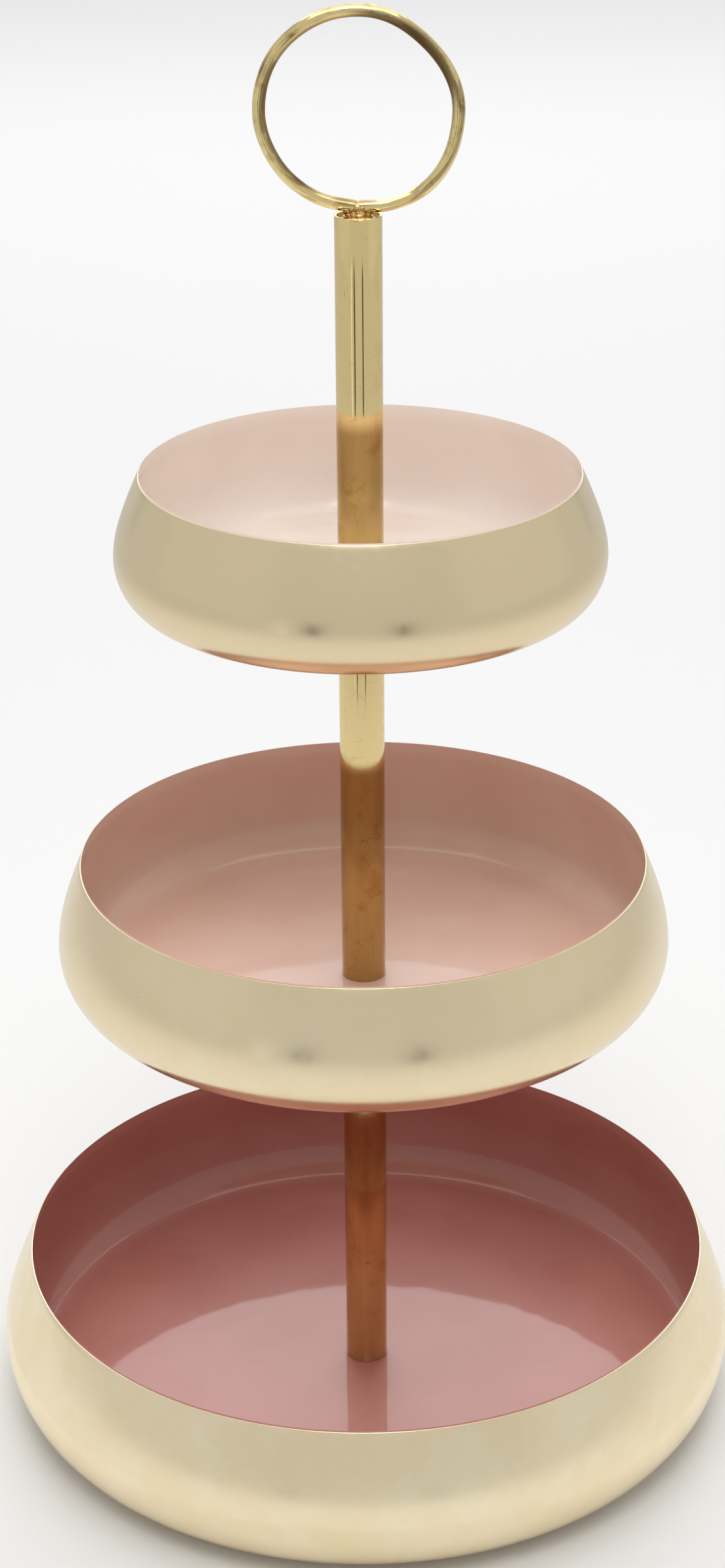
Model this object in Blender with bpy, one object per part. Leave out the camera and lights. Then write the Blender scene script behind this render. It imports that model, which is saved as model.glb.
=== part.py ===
"""Three-tier cake stand: three spun brass bowls with enamelled insides on a screwed-together brass stem.

The stem is three tubes. Each upper tube carries a stud at its foot, which passes through the
floor of a bowl and screws into the tube below, so every bowl is clamped between two tubes.
Units are metres, +Z is up, and the origin is on the stem's axis where the stand meets the table.
"""

import math
from collections import namedtuple

import bmesh
import bpy
from mathutils import Vector

MM = 0.001

# Clearances
SEAT_GAP = 0.3 * MM        # between pieces that rest on or are fixed to each other
THREAD_CLEARANCE = 0.25 * MM  # between a stud's thread and the insert that it screws into
HOLE_CLEARANCE = 0.6 * MM  # between a stud or a screw and the bowl hole that it passes through

# Bowls: a spun brass wall that leans in to its rim, swells below it and rounds in to a flat floor
Bowl = namedtuple("Bowl", "rim_radius swell height swell_height foot_round")
BOTTOM_BOWL = Bowl(137.8 * MM, 12.2 * MM, 61.5 * MM, 26.3 * MM, 17.7 * MM)
MIDDLE_BOWL = Bowl(110.2 * MM, 9.5 * MM, 53.3 * MM, 20.0 * MM, 18.3 * MM)
TOP_BOWL = Bowl(82.0 * MM, 10.0 * MM, 48.9 * MM, 17.9 * MM, 15.5 * MM)
WALL_LEAN = 0.5            # inward run over rise that the wall tends to above its swell
SHEET = 0.9 * MM           # brass wall
ENAMEL = 0.5 * MM          # coloured coat inside each bowl
WALL_STEPS = 3             # facets between the rim and the swell
FOOT_STEPS = 5             # facets between the swell and the floor
BOWL_SIDES = 40
BED_DEPTH = 0.05 * MM      # by which the enamel is thinner under a tube, which beds into it
BED_MARGIN = 1.5 * MM      # from a tube's side out to where the enamel has its full thickness

# Stem tubes
TUBE_RADIUS = 8.6 * MM
TUBE_WALL = 1.0 * MM
LOWER_TUBE_LENGTH = 177.8 * MM
MIDDLE_TUBE_LENGTH = 159.0 * MM
UPPER_TUBE_LENGTH = 142.0 * MM
TUBE_CHAMFER = 0.3 * MM
TUBE_SIDES = 28

# Threads: a stud of 8 mm with a pitch of 1.25 mm, in inserts pressed into the tubes' ends
STUD_RADIUS = 4.0 * MM
STUD_GRIP = 12.0 * MM      # held in the insert at its own tube's foot
STUD_REACH = 8.0 * MM      # screwed into the tube below
STUD_CHAMFER = 0.6 * MM
INSERT_LENGTH = 14.0 * MM
INSERT_SIDES = 24

# Base fastening
SCREW_RADIUS = 3.0 * MM
SCREW_REACH = 9.0 * MM     # screwed into the lower tube's foot
SCREW_HEAD_RADIUS = 5.6 * MM
SCREW_HEAD_HEIGHT = 2.0 * MM
SLOT_WIDTH = 1.4 * MM
SLOT_DEPTH = 0.9 * MM
WASHER_RADIUS = 9.5 * MM
WASHER_THICKNESS = 0.8 * MM
PAD_RADIUS = 6.0 * MM
PAD_HEIGHT = 4.0 * MM
PAD_CIRCLE = 95.0 * MM     # from the stem's axis to each pad's middle
PAD_COUNT = 4

# Ring handle: a round wire bent to a ring a little wider than it is tall, whose straight ends
# slope down to meet over the stem
RING_HALF_WIDTH = 35.1 * MM   # to the middle of the wire
RING_HALF_HEIGHT = 33.8 * MM  # to the middle of the wire, at the top
WIRE_RADIUS = 2.3 * MM
RING_LIFT = 0.3 * MM       # from the tube's end up to the wire
RING_END_SLOPE = math.radians(13)
RING_SEAM_WIDTH = 0.3 * MM
RING_STEPS = 48
WIRE_SIDES = 10
CAP_RECESS = 1.5 * MM      # from the tube's end down to the cap
CAP_THICKNESS = 3.0 * MM
BRAZE_RADIUS = 5.2 * MM
BRAZE_HEIGHT = 4.3 * MM    # above the cap

# Heights, stacked up from the table
BOTTOM_FLOOR_UNDER = PAD_HEIGHT + SEAT_GAP
FLOOR_STACK = SHEET + SEAT_GAP + ENAMEL          # underside of a bowl to the top of its enamel
LOWER_TUBE_FOOT = BOTTOM_FLOOR_UNDER + FLOOR_STACK + SEAT_GAP
LOWER_TUBE_TOP = LOWER_TUBE_FOOT + LOWER_TUBE_LENGTH
MIDDLE_FLOOR_UNDER = LOWER_TUBE_TOP + SEAT_GAP
MIDDLE_TUBE_FOOT = MIDDLE_FLOOR_UNDER + FLOOR_STACK + SEAT_GAP
MIDDLE_TUBE_TOP = MIDDLE_TUBE_FOOT + MIDDLE_TUBE_LENGTH
TOP_FLOOR_UNDER = MIDDLE_TUBE_TOP + SEAT_GAP
UPPER_TUBE_FOOT = TOP_FLOOR_UNDER + FLOOR_STACK + SEAT_GAP
UPPER_TUBE_TOP = UPPER_TUBE_FOOT + UPPER_TUBE_LENGTH
RING_BEND_START = math.atan(RING_HALF_WIDTH / RING_HALF_HEIGHT * math.tan(RING_END_SLOPE))
RING_DEPTH = RING_HALF_HEIGHT / math.cos(RING_BEND_START)  # from its centre to where its ends meet
RING_CENTRE = UPPER_TUBE_TOP + RING_LIFT + WIRE_RADIUS + RING_DEPTH
CAP_TOP = UPPER_TUBE_TOP - CAP_RECESS

# Radii that follow from the fits
BOWL_HOLE_RADIUS = STUD_RADIUS + HOLE_CLEARANCE
INSERT_RADIUS = TUBE_RADIUS - TUBE_WALL - SEAT_GAP


def clear_scene():
    for obj in list(bpy.data.objects):
        bpy.data.objects.remove(obj)


def material(name, colour, roughness, metallic):
    made = bpy.data.materials.new(name)
    made.use_nodes = True
    shader = made.node_tree.nodes["Principled BSDF"]
    shader.inputs["Base Color"].default_value = (*colour, 1.0)
    shader.inputs["Roughness"].default_value = roughness
    shader.inputs["Metallic"].default_value = metallic
    return made


def axis_empty(name, height):
    """An empty on the stem's axis, which the pieces that move together hang from."""
    empty = bpy.data.objects.new(name, None)
    empty.location = (0, 0, height)
    bpy.context.collection.objects.link(empty)
    return empty


def add_object(name, bm, surface, holder, world_place):
    """Makes the finished mesh an object at world_place, parented to its holder."""
    bmesh.ops.recalc_face_normals(bm, faces=bm.faces)
    mesh = bpy.data.meshes.new(name)
    bm.to_mesh(mesh)
    bm.free()
    mesh.shade_smooth()
    mesh.set_sharp_from_angle(angle=math.radians(35))
    mesh.materials.append(surface)
    obj = bpy.data.objects.new(name, mesh)
    bpy.context.collection.objects.link(obj)
    obj.parent = holder
    obj.location = Vector(world_place) - holder.location
    return obj


def turned(outline, sides):
    """Turns a closed outline of (radius, height) points about the Z axis into a solid."""
    bm = bmesh.new()
    points = [bm.verts.new((radius, 0, height)) for radius, height in outline]
    edges = [bm.edges.new(pair) for pair in zip(points, points[1:] + points[:1])]
    bmesh.ops.spin(
        bm,
        geom=points + edges,
        axis=(0, 0, 1),
        cent=(0, 0, 0),
        angle=2 * math.pi,
        steps=sides,
        use_merge=True,
    )
    bmesh.ops.remove_doubles(bm, verts=bm.verts, dist=0.001 * MM)
    bmesh.ops.dissolve_degenerate(bm, dist=0.001 * MM, edges=bm.edges)
    loose = [edge for edge in bm.edges if not edge.link_faces]
    bmesh.ops.delete(bm, geom=loose, context="EDGES")
    return bm


def chamfered_tube(outer, inner, bottom, top, chamfer):
    """Outline of a tube's wall with its outer edges broken."""
    return [
        (inner, top),
        (outer - chamfer, top),
        (outer, top - chamfer),
        (outer, bottom + chamfer),
        (outer - chamfer, bottom),
        (inner, bottom),
    ]


def outer_wall(bowl):
    """(point, inward normal) pairs down the outside of a bowl, from its rim to its flat floor.

    Above the swell the wall is a hyperbola, which straightens towards the rim, and below it a
    quarter of an ellipse. Heights are above the bowl's underside.
    """
    widest = bowl.rim_radius + bowl.swell
    rise = bowl.height - bowl.swell_height
    run = bowl.swell / WALL_LEAN
    bend = (rise**2 - run**2) / (2 * run)
    pairs = []
    for step in range(WALL_STEPS):
        above = rise * (1 - step / WALL_STEPS)
        reach = math.hypot(above, bend)
        point = Vector((widest - WALL_LEAN * (reach - bend), bowl.swell_height + above))
        normal = Vector((-1, -WALL_LEAN * above / reach)).normalized()
        pairs.append((point, normal))
    for step in range(FOOT_STEPS + 1):
        turn = math.pi / 2 * step / FOOT_STEPS
        out, down = math.cos(turn), math.sin(turn)
        point = Vector((
            widest - bowl.foot_round * (1 - out),
            bowl.swell_height * (1 - down),
        ))
        normal = Vector((-out / bowl.foot_round, down / bowl.swell_height)).normalized()
        pairs.append((point, normal))
    return pairs


def bowl_layer(bowl, outside, inside, floor_middle):
    """Outline of one layer of a bowl's wall, between two depths measured in from its outside.

    floor_middle is the inner face of its floor from the hole to where the even depth starts.
    """
    wall = outer_wall(bowl)
    outer = [point + normal * outside for point, normal in wall]
    inner = [point + normal * inside for point, normal in wall]
    outline = [tuple(point) for point in outer]
    outline += [(BOWL_HOLE_RADIUS, outside), *floor_middle]
    outline += [tuple(point) for point in reversed(inner)]
    return outline


def add_bowl(tier, bowl, under, enamel_colour, holder):
    shell_middle = [(BOWL_HOLE_RADIUS, SHEET)]
    shell = turned(bowl_layer(bowl, 0, SHEET, shell_middle), BOWL_SIDES)
    spun_brass = material(f"{tier}_bowl_brass", (0.62, 0.52, 0.33), 0.3, 1)
    add_object(f"{tier}_bowl_shell", shell, spun_brass, holder, (0, 0, under))
    coat_start = SHEET + SEAT_GAP
    coat_end = coat_start + ENAMEL
    bed = [
        (BOWL_HOLE_RADIUS, coat_end - BED_DEPTH),
        (TUBE_RADIUS + BED_MARGIN / 2, coat_end - BED_DEPTH),
        (TUBE_RADIUS + BED_MARGIN, coat_end),
    ]
    coat = turned(bowl_layer(bowl, coat_start, coat_end, bed), BOWL_SIDES)
    enamel = material(f"{tier}_bowl_enamel", enamel_colour, 0.12, 0)
    add_object(f"{tier}_bowl_enamel", coat, enamel, holder, (0, 0, under))


def add_tube(name, foot, length, holder):
    outline = chamfered_tube(TUBE_RADIUS, TUBE_RADIUS - TUBE_WALL, 0, length, TUBE_CHAMFER)
    tube_brass = material(f"{name}_brass", (0.56, 0.42, 0.2), 0.22, 1)
    add_object(name, turned(outline, TUBE_SIDES), tube_brass, holder, (0, 0, foot))


def add_insert(name, bottom, bore, holder):
    """A threaded bush pressed into one end of a tube."""
    outline = chamfered_tube(INSERT_RADIUS, bore, 0, INSERT_LENGTH, TUBE_CHAMFER)
    plain_brass = material(f"{name}_brass", (0.5, 0.4, 0.2), 0.4, 1)
    add_object(name, turned(outline, INSERT_SIDES), plain_brass, holder, (0, 0, bottom))


def add_foot_insert(name, tube_foot, bore, holder):
    add_insert(name, tube_foot + SEAT_GAP, bore, holder)


def add_top_insert(name, tube_top, bore, holder):
    add_insert(name, tube_top - SEAT_GAP - INSERT_LENGTH, bore, holder)


def add_stud(name, tube_foot, floor_under, holder):
    """A stud held in a tube's foot that reaches through the bowl floor into the tube below."""
    tip = floor_under - 2 * SEAT_GAP - STUD_REACH
    top = tube_foot + SEAT_GAP + STUD_GRIP
    length = top - tip
    outline = [
        (0, length),
        (STUD_RADIUS - STUD_CHAMFER, length),
        (STUD_RADIUS, length - STUD_CHAMFER),
        (STUD_RADIUS, STUD_CHAMFER),
        (STUD_RADIUS - STUD_CHAMFER, 0),
        (0, 0),
    ]
    steel = material(f"{name}_steel", (0.55, 0.55, 0.54), 0.35, 1)
    add_object(name, turned(outline, INSERT_SIDES), steel, holder, (0, 0, tip))


def add_base_washer(holder):
    bottom = BOTTOM_FLOOR_UNDER - SEAT_GAP - WASHER_THICKNESS
    bore = SCREW_RADIUS + HOLE_CLEARANCE
    outline = chamfered_tube(WASHER_RADIUS, bore, 0, WASHER_THICKNESS, WASHER_THICKNESS / 4)
    steel = material("base_washer_steel", (0.6, 0.6, 0.59), 0.35, 1)
    add_object("base_washer", turned(outline, TUBE_SIDES), steel, holder, (0, 0, bottom))


def add_base_screw(holder):
    """A slotted pan-head screw from below, through the washer and the bowl into the lower tube."""
    head_top = BOTTOM_FLOOR_UNDER - 2 * SEAT_GAP - WASHER_THICKNESS
    head_bottom = head_top - SCREW_HEAD_HEIGHT
    tip = LOWER_TUBE_FOOT + SCREW_REACH - head_bottom
    outline = [
        (0, tip),
        (SCREW_RADIUS - STUD_CHAMFER, tip),
        (SCREW_RADIUS, tip - STUD_CHAMFER),
        (SCREW_RADIUS, SCREW_HEAD_HEIGHT),
        (SCREW_HEAD_RADIUS, SCREW_HEAD_HEIGHT),
        (SCREW_HEAD_RADIUS, SCREW_HEAD_HEIGHT / 2),
        (SCREW_HEAD_RADIUS - SCREW_HEAD_HEIGHT / 3, 0),
        (0, 0),
    ]
    steel = material("base_screw_steel", (0.6, 0.6, 0.59), 0.3, 1)
    solid = turned(outline, INSERT_SIDES)
    screw = add_object("base_screw", solid, steel, holder, (0, 0, head_bottom))
    cutter = bmesh.new()
    bmesh.ops.create_cube(cutter, size=1)
    cut_size = Vector((3 * SCREW_HEAD_RADIUS, SLOT_WIDTH, 2 * SLOT_DEPTH))
    bmesh.ops.scale(cutter, vec=cut_size, verts=cutter.verts)
    cut_from(screw, "base_screw_slot_cutter", cutter, steel, holder, (0, 0, head_bottom))


def cut_from(obj, name, cutter_bm, surface, holder, place):
    cutter = add_object(name, cutter_bm, surface, holder, place)
    cutter.hide_render = True
    cutter.display_type = "WIRE"
    cut = obj.modifiers.new(name, "BOOLEAN")
    cut.operation = "DIFFERENCE"
    cut.object = cutter


def add_base_pads(holder):
    """Soft round feet under the bottom bowl, taller than the screw head."""
    silicone = material("base_pad_silicone", (0.62, 0.61, 0.58), 0.5, 0)
    edge = PAD_HEIGHT / 4
    outline = [
        (0, PAD_HEIGHT),
        (PAD_RADIUS, PAD_HEIGHT),
        (PAD_RADIUS, edge),
        (PAD_RADIUS - edge, 0),
        (0, 0),
    ]
    for index in range(PAD_COUNT):
        turn = 2 * math.pi * (index + 0.5) / PAD_COUNT
        place = (PAD_CIRCLE * math.cos(turn), PAD_CIRCLE * math.sin(turn), 0)
        pad = turned(outline, INSERT_SIDES)
        add_object(f"base_pad_{index + 1}", pad, silicone, holder, place)


def ring_path(end_gap):
    """Middle line of the ring in the XZ plane, from its right end round over the top to its left.

    It is an ellipse whose lowest stretch is replaced by its two tangents, which meet under the
    centre. Each end stops half of end_gap short of that point.
    """
    bends = []
    for step in range(RING_STEPS + 1):
        turn = RING_BEND_START + (2 * math.pi - 2 * RING_BEND_START) * step / RING_STEPS
        bends.append(Vector((
            RING_HALF_WIDTH * math.sin(turn),
            0,
            -RING_HALF_HEIGHT * math.cos(turn),
        )))
    half_gap = end_gap / 2
    end_height = -RING_DEPTH + half_gap * math.tan(RING_END_SLOPE)
    right_end = Vector((half_gap, 0, end_height))
    left_end = Vector((-half_gap, 0, end_height))
    return [right_end] + bends + ([left_end] if end_gap else [])


def swept_wire(path, radius, sides, closed):
    """A round wire along a path in the XZ plane, which joins up or has square ends."""
    bm = bmesh.new()
    loops = []
    count = len(path)
    for index, middle in enumerate(path):
        if closed:
            before, after = path[index - 1], path[(index + 1) % count]
        else:
            before, after = path[max(index - 1, 0)], path[min(index + 1, count - 1)]
        along = (after - before).normalized()
        out = Vector((along.z, 0, -along.x))
        loop = []
        for side in range(sides):
            turn = 2 * math.pi * side / sides
            across = Vector((0, math.sin(turn), 0))
            loop.append(bm.verts.new(middle + (out * math.cos(turn) + across) * radius))
        loops.append(loop)
    joins = list(zip(loops, loops[1:])) + ([(loops[-1], loops[0])] if closed else [])
    for first, second in joins:
        for side in range(sides):
            after = (side + 1) % sides
            bm.faces.new((first[side], first[after], second[after], second[side]))
    if not closed:
        bm.faces.new(loops[0])
        bm.faces.new(loops[-1])
    return bm


def add_ring_handle(holder):
    corner_overhang = WIRE_RADIUS * math.sin(RING_END_SLOPE)
    path = ring_path(RING_SEAM_WIDTH + 2 * corner_overhang)
    bm = swept_wire(path, WIRE_RADIUS, WIRE_SIDES, closed=False)
    ring_brass = material("ring_handle_brass", (0.5, 0.35, 0.14), 0.2, 1)
    add_object("ring_handle", bm, ring_brass, holder, (0, 0, RING_CENTRE))


def add_handle_cap(holder):
    outline = [
        (0, CAP_THICKNESS),
        (INSERT_RADIUS - TUBE_CHAMFER, CAP_THICKNESS),
        (INSERT_RADIUS, CAP_THICKNESS - TUBE_CHAMFER),
        (INSERT_RADIUS, 0),
        (0, 0),
    ]
    cap_brass = material("handle_cap_brass", (0.55, 0.5, 0.4), 0.35, 1)
    place = (0, 0, CAP_TOP - CAP_THICKNESS)
    add_object("handle_cap", turned(outline, TUBE_SIDES), cap_brass, holder, place)


def add_handle_braze(holder):
    """The fillet of braze that joins the ring to the cap, a low dome grooved for the wire."""
    steps = 5
    outline = [(0, 0), (0, BRAZE_HEIGHT)]
    for step in range(1, steps + 1):
        turn = math.pi / 2 * step / steps
        outline.append((BRAZE_RADIUS * math.sin(turn), BRAZE_HEIGHT * math.cos(turn)))
    braze_gold = material("handle_braze_gold", (0.7, 0.5, 0.18), 0.3, 1)
    place = (0, 0, CAP_TOP + SEAT_GAP)
    solid = turned(outline, INSERT_SIDES)
    braze = add_object("handle_braze", solid, braze_gold, holder, place)
    groove = swept_wire(ring_path(0), WIRE_RADIUS + SEAT_GAP, WIRE_SIDES, closed=True)
    middle = (0, 0, RING_CENTRE)
    cut_from(braze, "handle_braze_groove_cutter", groove, braze_gold, holder, middle)


def build_base():
    """The bottom bowl with its feet and the tube screwed to it, which stay together."""
    base = axis_empty("base", 0)
    foot_bore = SCREW_RADIUS + SEAT_GAP
    socket_bore = STUD_RADIUS + THREAD_CLEARANCE
    add_base_pads(base)
    add_base_washer(base)
    add_base_screw(base)
    add_bowl("bottom", BOTTOM_BOWL, BOTTOM_FLOOR_UNDER, (0.42, 0.17, 0.13), base)
    add_tube("lower_tube", LOWER_TUBE_FOOT, LOWER_TUBE_LENGTH, base)
    add_foot_insert("lower_tube_foot_insert", LOWER_TUBE_FOOT, foot_bore, base)
    add_top_insert("lower_tube_top_insert", LOWER_TUBE_TOP, socket_bore, base)


def build_middle_tier():
    bowl_axis = axis_empty("middle_bowl", MIDDLE_FLOOR_UNDER)
    add_bowl("middle", MIDDLE_BOWL, MIDDLE_FLOOR_UNDER, (0.6, 0.36, 0.28), bowl_axis)
    stem = axis_empty("middle_stem", MIDDLE_TUBE_FOOT)
    grip_bore = STUD_RADIUS + SEAT_GAP
    socket_bore = STUD_RADIUS + THREAD_CLEARANCE
    add_tube("middle_tube", MIDDLE_TUBE_FOOT, MIDDLE_TUBE_LENGTH, stem)
    add_foot_insert("middle_tube_foot_insert", MIDDLE_TUBE_FOOT, grip_bore, stem)
    add_top_insert("middle_tube_top_insert", MIDDLE_TUBE_TOP, socket_bore, stem)
    add_stud("middle_stud", MIDDLE_TUBE_FOOT, MIDDLE_FLOOR_UNDER, stem)


def build_top_tier():
    bowl_axis = axis_empty("top_bowl", TOP_FLOOR_UNDER)
    add_bowl("top", TOP_BOWL, TOP_FLOOR_UNDER, (0.78, 0.62, 0.54), bowl_axis)
    stem = axis_empty("upper_stem", UPPER_TUBE_FOOT)
    add_tube("upper_tube", UPPER_TUBE_FOOT, UPPER_TUBE_LENGTH, stem)
    add_foot_insert("upper_tube_foot_insert", UPPER_TUBE_FOOT, STUD_RADIUS + SEAT_GAP, stem)
    add_stud("upper_stud", UPPER_TUBE_FOOT, TOP_FLOOR_UNDER, stem)
    add_handle_cap(stem)
    add_ring_handle(stem)
    add_handle_braze(stem)


clear_scene()
build_base()
build_middle_tier()
build_top_tier()
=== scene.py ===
# %% [markdown]
# # A three-tier cake stand in brass and enamel
#
# Three spun brass bowls, enamelled inside in three pinks, sit one above the other on a stem of
# three brass tubes, and a ring of brass wire brazed to the top is what a hand lifts it by. The
# working model that is loaded here already has every piece at its right size and place, but in
# plain facets. This lesson gives each piece its finished surface: round walls, broken edges,
# threads, braze, and finishes that are built from nodes alone.

import math

import bmesh
import bpy
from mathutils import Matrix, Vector


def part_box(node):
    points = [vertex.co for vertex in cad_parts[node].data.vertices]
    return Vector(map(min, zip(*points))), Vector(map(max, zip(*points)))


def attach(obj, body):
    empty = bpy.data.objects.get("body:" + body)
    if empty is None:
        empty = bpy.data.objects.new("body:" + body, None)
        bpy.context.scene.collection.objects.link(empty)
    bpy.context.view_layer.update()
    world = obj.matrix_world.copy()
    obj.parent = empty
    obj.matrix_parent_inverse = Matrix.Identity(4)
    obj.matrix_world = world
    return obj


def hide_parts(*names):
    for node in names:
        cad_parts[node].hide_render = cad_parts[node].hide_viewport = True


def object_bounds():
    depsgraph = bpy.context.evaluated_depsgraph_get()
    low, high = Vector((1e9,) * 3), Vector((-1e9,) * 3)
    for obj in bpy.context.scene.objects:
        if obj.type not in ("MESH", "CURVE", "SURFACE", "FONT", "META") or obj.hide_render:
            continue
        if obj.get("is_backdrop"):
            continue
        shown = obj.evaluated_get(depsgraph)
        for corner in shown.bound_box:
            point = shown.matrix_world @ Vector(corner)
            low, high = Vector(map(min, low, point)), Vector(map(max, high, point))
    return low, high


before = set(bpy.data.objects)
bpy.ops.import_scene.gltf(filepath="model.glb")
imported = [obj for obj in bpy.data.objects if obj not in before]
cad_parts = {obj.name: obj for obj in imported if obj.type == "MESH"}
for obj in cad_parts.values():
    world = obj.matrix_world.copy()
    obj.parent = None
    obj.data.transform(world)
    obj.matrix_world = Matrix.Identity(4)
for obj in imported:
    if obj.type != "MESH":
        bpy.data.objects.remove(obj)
working_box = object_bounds()
MM = 0.001
print("working model, mm:", [round(side / MM, 1) for side in working_box[1] - working_box[0]])

# %% [markdown]
# ## Measuring
#
# A turned piece is described by two numbers at each point: how far it is from the stem's axis and
# how high it is. Reading those from the working model, and not typing them in again, keeps every
# finished piece on the design. A bowl needs five of them: its underside, its rim, and how wide it
# is at the rim, at its swell and at its flat floor.

# %% Read a bowl's shape
TOUCH = 0.01 * MM


def turned_points(node):
    """(distance from the stem's axis, height) of each of a node's points."""
    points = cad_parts[node].data.vertices
    return [(math.hypot(point.co.x, point.co.y), point.co.z) for point in points]


def read_bowl(tier):
    points = turned_points(f"{tier}_bowl_shell")
    under = min(height for _, height in points)
    rim = max(height for _, height in points)
    widest, swell_height = max(points)
    return {
        "under": under,
        "rim": rim,
        "rim_radius": max(radius for radius, height in points if height > rim - TOUCH),
        "widest": widest,
        "swell_height": swell_height,
        "floor_radius": max(radius for radius, height in points if height < under + TOUCH),
        "hole_radius": min(points)[0],
    }


TIERS = ("bottom", "middle", "top")
bowls = {tier: read_bowl(tier) for tier in TIERS}
for tier in TIERS:
    print(tier, "bowl, mm:", {size: round(value / MM, 1) for size, value in bowls[tier].items()})

# %% [markdown]
# ## The camera
#
# The stand is looked at from a little above its ring, so that all three enamelled floors show. A
# long lens keeps the three rims nearly the same ellipse. The camera turns by a hair about its own
# line of sight, because a hand-set camera is never quite level.

# %% Set up the camera
EYE = (0, -1037.5 * MM, 735.4 * MM)
LOOK_DOWN = math.radians(24.25)
LEAN = math.radians(-0.44)
LENS_MM = 67.74

bpy.ops.object.camera_add(location=EYE, rotation=(math.pi / 2 - LOOK_DOWN, 0, 0))
camera = bpy.context.object
camera.rotation_euler.rotate_axis("Z", LEAN)
camera.data.lens = LENS_MM
bpy.context.scene.camera = camera
print("camera looks down by", round(math.degrees(LOOK_DOWN), 2), "degrees")

# %% [markdown]
# ## The studio
#
# Polished brass has hardly any colour of its own in a dark room: it shows the room. So the stand
# is put where a maker's catalogue would put it, on a wide white table under large soft lights.
# The side panels are big and faint, which gives the metal long calm reflections with soft ends,
# and the top and back panels do most of the lighting. A few cards that only reflections show lie
# on the table or stand behind it, and they set what the metal mirrors.

# %% Table, room and lights
TABLE_RADIUS = 9.0
ROOM_WHITE = 0.60
WEDGE_SHOULDER = 1.4  # a wedge is at its full width this many times as far out as its tip


def light_panel(name, place, size, power, aim, spread=180):
    """A soft rectangular light that faces the point aim, narrowed to spread degrees."""
    bpy.ops.object.light_add(type="AREA", location=place)
    panel = bpy.context.object
    panel.name = name
    panel.data.shape = "RECTANGLE"
    panel.data.size, panel.data.size_y = size
    panel.data.energy = power
    panel.data.spread = math.radians(spread)
    panel.rotation_euler = (panel.location - Vector(aim)).to_track_quat("Z", "Y").to_euler()
    return panel


def seen_in_metal(name, glow):
    """Makes the piece at hand a card that only reflections show, with an even glow."""
    card = bpy.context.object
    card.name = name
    card.visible_camera = card.visible_diffuse = card.visible_shadow = False
    paint = bpy.data.materials.new(name)
    paint.use_nodes = True
    shader = paint.node_tree.nodes["Principled BSDF"]
    shader.inputs["Base Color"].default_value = (0, 0, 0, 1)
    shader.inputs["Specular IOR Level"].default_value = 0
    shader.inputs["Emission Color"].default_value = (glow, glow, glow, 1)
    shader.inputs["Emission Strength"].default_value = 1
    card.data.materials.append(paint)
    card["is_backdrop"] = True


def table_wedge(name, degrees, near, far, wide, glow=0):
    """A card on the table that widens away from the stem, degrees to the right of the front."""
    bpy.ops.mesh.primitive_circle_add(vertices=3, radius=1, fill_type="NGON",
                                      location=(0, 0, 3 * MM))
    bpy.ops.object.mode_set(mode="EDIT")
    shape = bmesh.from_edit_mesh(bpy.context.object.data)
    bmesh.ops.delete(shape, geom=list(shape.verts), context="VERTS")
    corners = []
    half = wide / 2
    shoulder = WEDGE_SHOULDER * near
    outline = ((near, 0), (shoulder, -half), (far, -half), (far, half), (shoulder, half))
    for reach, turn in outline:
        angle = math.radians(degrees + turn)
        corners.append(shape.verts.new((reach * math.sin(angle), -reach * math.cos(angle), 0)))
    shape.faces.new(corners)
    bmesh.update_edit_mesh(bpy.context.object.data)
    bpy.ops.object.mode_set(mode="OBJECT")
    seen_in_metal(name, glow)


def upright_card(name, place, width, height, glow=0):
    """A narrow card that stands on the table and faces the stem."""
    bpy.ops.mesh.primitive_plane_add(size=1, location=(*place, height / 2))
    upright = bpy.context.object
    upright.scale = (width, height, 1)
    upright.rotation_euler = (math.pi / 2, 0, math.atan2(-place[0], place[1]))
    seen_in_metal(name, glow)


bpy.ops.object.select_all(action="DESELECT")
bpy.ops.mesh.primitive_circle_add(vertices=96, radius=TABLE_RADIUS, fill_type="NGON")
table_top = bpy.context.object
table_top.name = "table_top"
table_top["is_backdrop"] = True
MIDDLE = (working_box[0] + working_box[1]) / 2
light_panel("top_panel", (0, -0.1, 1.75), (1.5, 1.5), 9, MIDDLE)
light_panel("front_panel", (0, -1.3, 2.3), (0.9, 0.9), 1.6, (0, -0.2, 0.1), 60)
light_panel("left_panel", (-3.0, -0.9, 1.5), (4.0, 3.0), 1.5, MIDDLE)
light_panel("right_panel", (3.0, -0.6, 1.5), (4.0, 3.0), 2, MIDDLE)
light_panel("back_panel", (0, 2.5, 1.75), (2.8, 1.9), 13, MIDDLE)
light_panel("table_panel", (0, 3.6, 3.6), (5.0, 3.6), 75, (0, 3.4, 0))

# The table as the metal sees it: a grey sweep, a little brighter close to the stand.
SWEEP_START = 0.19
SWEEP_END = 1.7
SWEEP_NEAR_GLOW, SWEEP_GLOW = 0.84, 0.60
bpy.ops.mesh.primitive_circle_add(vertices=96, radius=TABLE_RADIUS, location=(0, 0, MM))
bpy.ops.object.mode_set(mode="EDIT")
bpy.ops.mesh.extrude_region_move()
shrink = SWEEP_START / TABLE_RADIUS
bpy.ops.transform.resize(value=(shrink, shrink, 1), center_override=(0, 0, 0))
bpy.ops.object.mode_set(mode="OBJECT")
seen_in_metal("grey_sweep", SWEEP_GLOW)

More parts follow.
